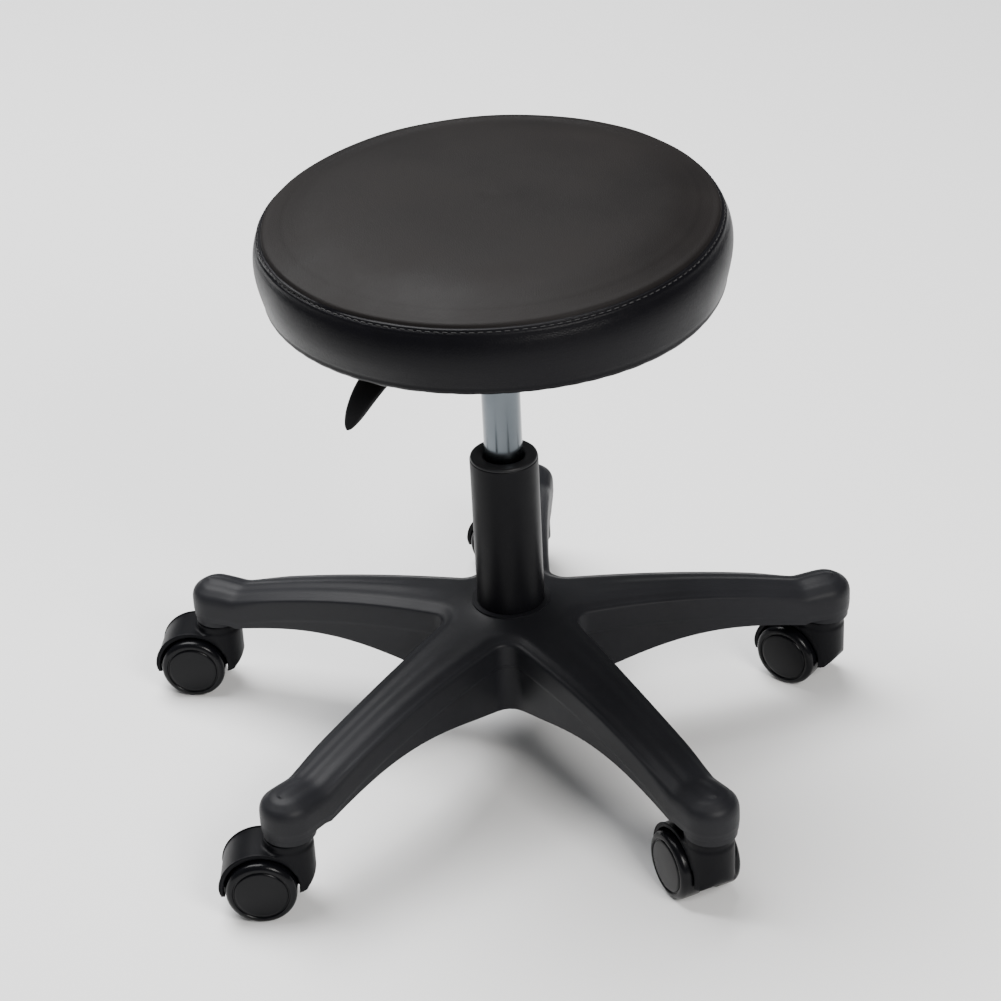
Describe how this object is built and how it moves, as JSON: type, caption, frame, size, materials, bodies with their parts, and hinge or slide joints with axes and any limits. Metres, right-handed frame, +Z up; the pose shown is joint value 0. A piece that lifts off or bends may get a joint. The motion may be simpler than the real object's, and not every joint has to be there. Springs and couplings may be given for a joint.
{
  "type": "adjustable swivel stool",
  "caption": "Round padded swivel stool on a gas lift with a height lever and a five-arm base on twin-wheel casters.",
  "frame": {"origin": "the point of the floor straight below the column, which stands on the Z axis", "axes": "+Z up along the column, +Y along the back arm of the base, -Y towards the seat's lower front edge"},
  "size_m": [0.5437, 0.5125, 0.4515],
  "materials": {
    "plywood": "satin",
    "foam": "matte",
    "synthetic_leather": "semi-gloss",
    "backing_cloth": "matte",
    "zinc_steel": "satin",
    "bright_steel": "polished",
    "black_powder_coat": "textured",
    "black_tube_paint": "gloss",
    "lever_plastic": "satin",
    "chrome": "polished",
    "bushing_plastic": "satin",
    "brass": "satin",
    "rubber": "matte",
    "base_nylon": "textured",
    "hood_nylon": "satin",
    "wheel_nylon": "satin"
  },
  "bodies": {
    "base": {"base_star": "base_nylon", "outer_tube": "black_tube_paint", "guide_bushing": "bushing_plastic", "thrust_race_lower": "bright_steel", "ball_cage": "brass", "thrust_balls": "bright_steel", "lower_washer": "zinc_steel", "stem_back": "bright_steel", "stem_left": "bright_steel", "stem_front_left": "bright_steel", "stem_front_right": "bright_steel", "stem_right": "bright_steel", "grip_ring_back": "bright_steel", "grip_ring_left": "bright_steel", "grip_ring_front_left": "bright_steel", "grip_ring_front_right": "bright_steel", "grip_ring_right": "bright_steel"},
    "piston_rod_body": {"piston_rod": "bright_steel", "piston": "bushing_plastic", "rubber_bumper": "rubber", "thrust_race_upper": "bright_steel", "retaining_clip": "zinc_steel"},
    "seat": {"seat_board": "plywood", "seat_foam": "foam", "seat_cover": "synthetic_leather", "dust_cover": "backing_cloth", "cover_staples": "zinc_steel", "tee_nuts": "zinc_steel", "seat_bolts": "zinc_steel", "bolt_washers": "zinc_steel", "mechanism_plate": "black_powder_coat", "taper_socket": "black_powder_coat", "lever_pivot_pin": "zinc_steel", "gas_cylinder": "chrome", "cylinder_gland": "bushing_plastic", "valve_body": "brass"},
    "lever": {"lever_rod": "bright_steel", "lever_handle": "lever_plastic"},
    "release_button": {"release_pin": "bright_steel"},
    "caster_back": {"hood_back": "hood_nylon", "axle_back": "bright_steel"},
    "wheel_near_back": {"wheel_near_back": "wheel_nylon"},
    "wheel_far_back": {"wheel_far_back": "wheel_nylon"},
    "caster_left": {"hood_left": "hood_nylon", "axle_left": "bright_steel"},
    "wheel_near_left": {"wheel_near_left": "wheel_nylon"},
    "wheel_far_left": {"wheel_far_left": "wheel_nylon"},
    "caster_front_left": {"hood_front_left": "hood_nylon", "axle_front_left": "bright_steel"},
    "wheel_near_front_left": {"wheel_near_front_left": "wheel_nylon"},
    "wheel_far_front_left": {"wheel_far_front_left": "wheel_nylon"},
    "caster_front_right": {"hood_front_right": "hood_nylon", "axle_front_right": "bright_steel"},
    "wheel_near_front_right": {"wheel_near_front_right": "wheel_nylon"},
    "wheel_far_front_right": {"wheel_far_front_right": "wheel_nylon"},
    "caster_right": {"hood_right": "hood_nylon", "axle_right": "bright_steel"},
    "wheel_near_right": {"wheel_near_right": "wheel_nylon"},
    "wheel_far_right": {"wheel_far_right": "wheel_nylon"}
  },
  "joints": [
    {"name": "seat_swivel", "type": "hinge", "parent": "base", "child": "piston_rod_body", "pos_m": [0, 0, 0.3251], "axis": [0, 0, 1], "continuous": true},
    {"name": "height_slide", "type": "slide", "parent": "piston_rod_body", "child": "seat", "axis": [0, 0, 1], "range_m": [-0.07, 0.035]},
    {"name": "lever_pull", "type": "hinge", "parent": "seat", "child": "lever", "pos_m": [-0.01837, -0.02113, 0.3752], "axis": [-0.7547, 0.6561, 0], "range_deg": [0, 5.33], "stiffness_Nm_per_rad": 1.5, "springref_deg": -6.88},
    {"name": "pin_press", "type": "slide", "parent": "seat", "child": "release_button", "axis": [0, 0, -1], "range_m": [0, 0.0027]},
    {"name": "caster_swivel_back", "type": "hinge", "parent": "base", "child": "caster_back", "pos_m": [0, 0.248, 0.0606], "axis": [0, 0, 1], "continuous": true},
    {"name": "wheel_spin_near_back", "type": "hinge", "parent": "caster_back", "child": "wheel_near_back", "pos_m": [-0.02067, 0.25552, 0.025], "axis": [0.342, 0.9397, 0], "continuous": true},
    {"name": "wheel_spin_far_back", "type": "hinge", "parent": "caster_back", "child": "wheel_far_back", "pos_m": [-0.02067, 0.25552, 0.025], "axis": [0.342, 0.9397, 0], "continuous": true},
    {"name": "caster_swivel_left", "type": "hinge", "parent": "base", "child": "caster_left", "pos_m": [-0.23586, 0.07664, 0.0606], "axis": [0, 0, 1], "continuous": true},
    {"name": "wheel_spin_near_left", "type": "hinge", "parent": "caster_left", "child": "wheel_near_left", "pos_m": [-0.25786, 0.07702, 0.025], "axis": [0.0175, 0.9998, 0], "continuous": true},
    {"name": "wheel_spin_far_left", "type": "hinge", "parent": "caster_left", "child": "wheel_far_left", "pos_m": [-0.25786, 0.07702, 0.025], "axis": [0.0175, 0.9998, 0], "continuous": true},
    {"name": "caster_swivel_front_left", "type": "hinge", "parent": "base", "child": "caster_front_left", "pos_m": [-0.14577, -0.20064, 0.0606], "axis": [0, 0, 1], "continuous": true},
    {"name": "wheel_spin_near_front_left", "type": "hinge", "parent": "caster_front_left", "child": "wheel_near_front_left", "pos_m": [-0.16772, -0.20217, 0.025], "axis": [-0.0698, 0.9976, 0], "continuous": true},
    {"name": "wheel_spin_far_front_left", "type": "hinge", "parent": "caster_front_left", "child": "wheel_far_front_left", "pos_m": [-0.16772, -0.20217, 0.025], "axis": [-0.0698, 0.9976, 0], "continuous": true},
    {"name": "caster_swivel_front_right", "type": "hinge", "parent": "base", "child": "caster_front_right", "pos_m": [0.14577, -0.20064, 0.0606], "axis": [0, 0, 1], "continuous": true},
    {"name": "wheel_spin_near_front_right", "type": "hinge", "parent": "caster_front_right", "child": "wheel_near_front_right", "pos_m": [0.13511, -0.1814, 0.025], "axis": [0.8746, 0.4848, 0], "continuous": true},
    {"name": "wheel_spin_far_front_right", "type": "hinge", "parent": "caster_front_right", "child": "wheel_far_front_right", "pos_m": [0.13511, -0.1814, 0.025], "axis": [0.8746, 0.4848, 0], "continuous": true},
    {"name": "caster_swivel_right", "type": "hinge", "parent": "base", "child": "caster_right", "pos_m": [0.23586, 0.07664, 0.0606], "axis": [0, 0, 1], "continuous": true},
    {"name": "wheel_spin_near_right", "type": "hinge", "parent": "caster_right", "child": "wheel_near_right", "pos_m": [0.21741, 0.08862, 0.025], "axis": [0.5446, 0.8387, 0], "continuous": true},
    {"name": "wheel_spin_far_right", "type": "hinge", "parent": "caster_right", "child": "wheel_far_right", "pos_m": [0.21741, 0.08862, 0.025], "axis": [0.5446, 0.8387, 0], "continuous": true}
  ],
  "couplings": [
    {"joint": "pin_press", "follows": "lever_pull", "m_per_rad": 0.028}
  ]
}
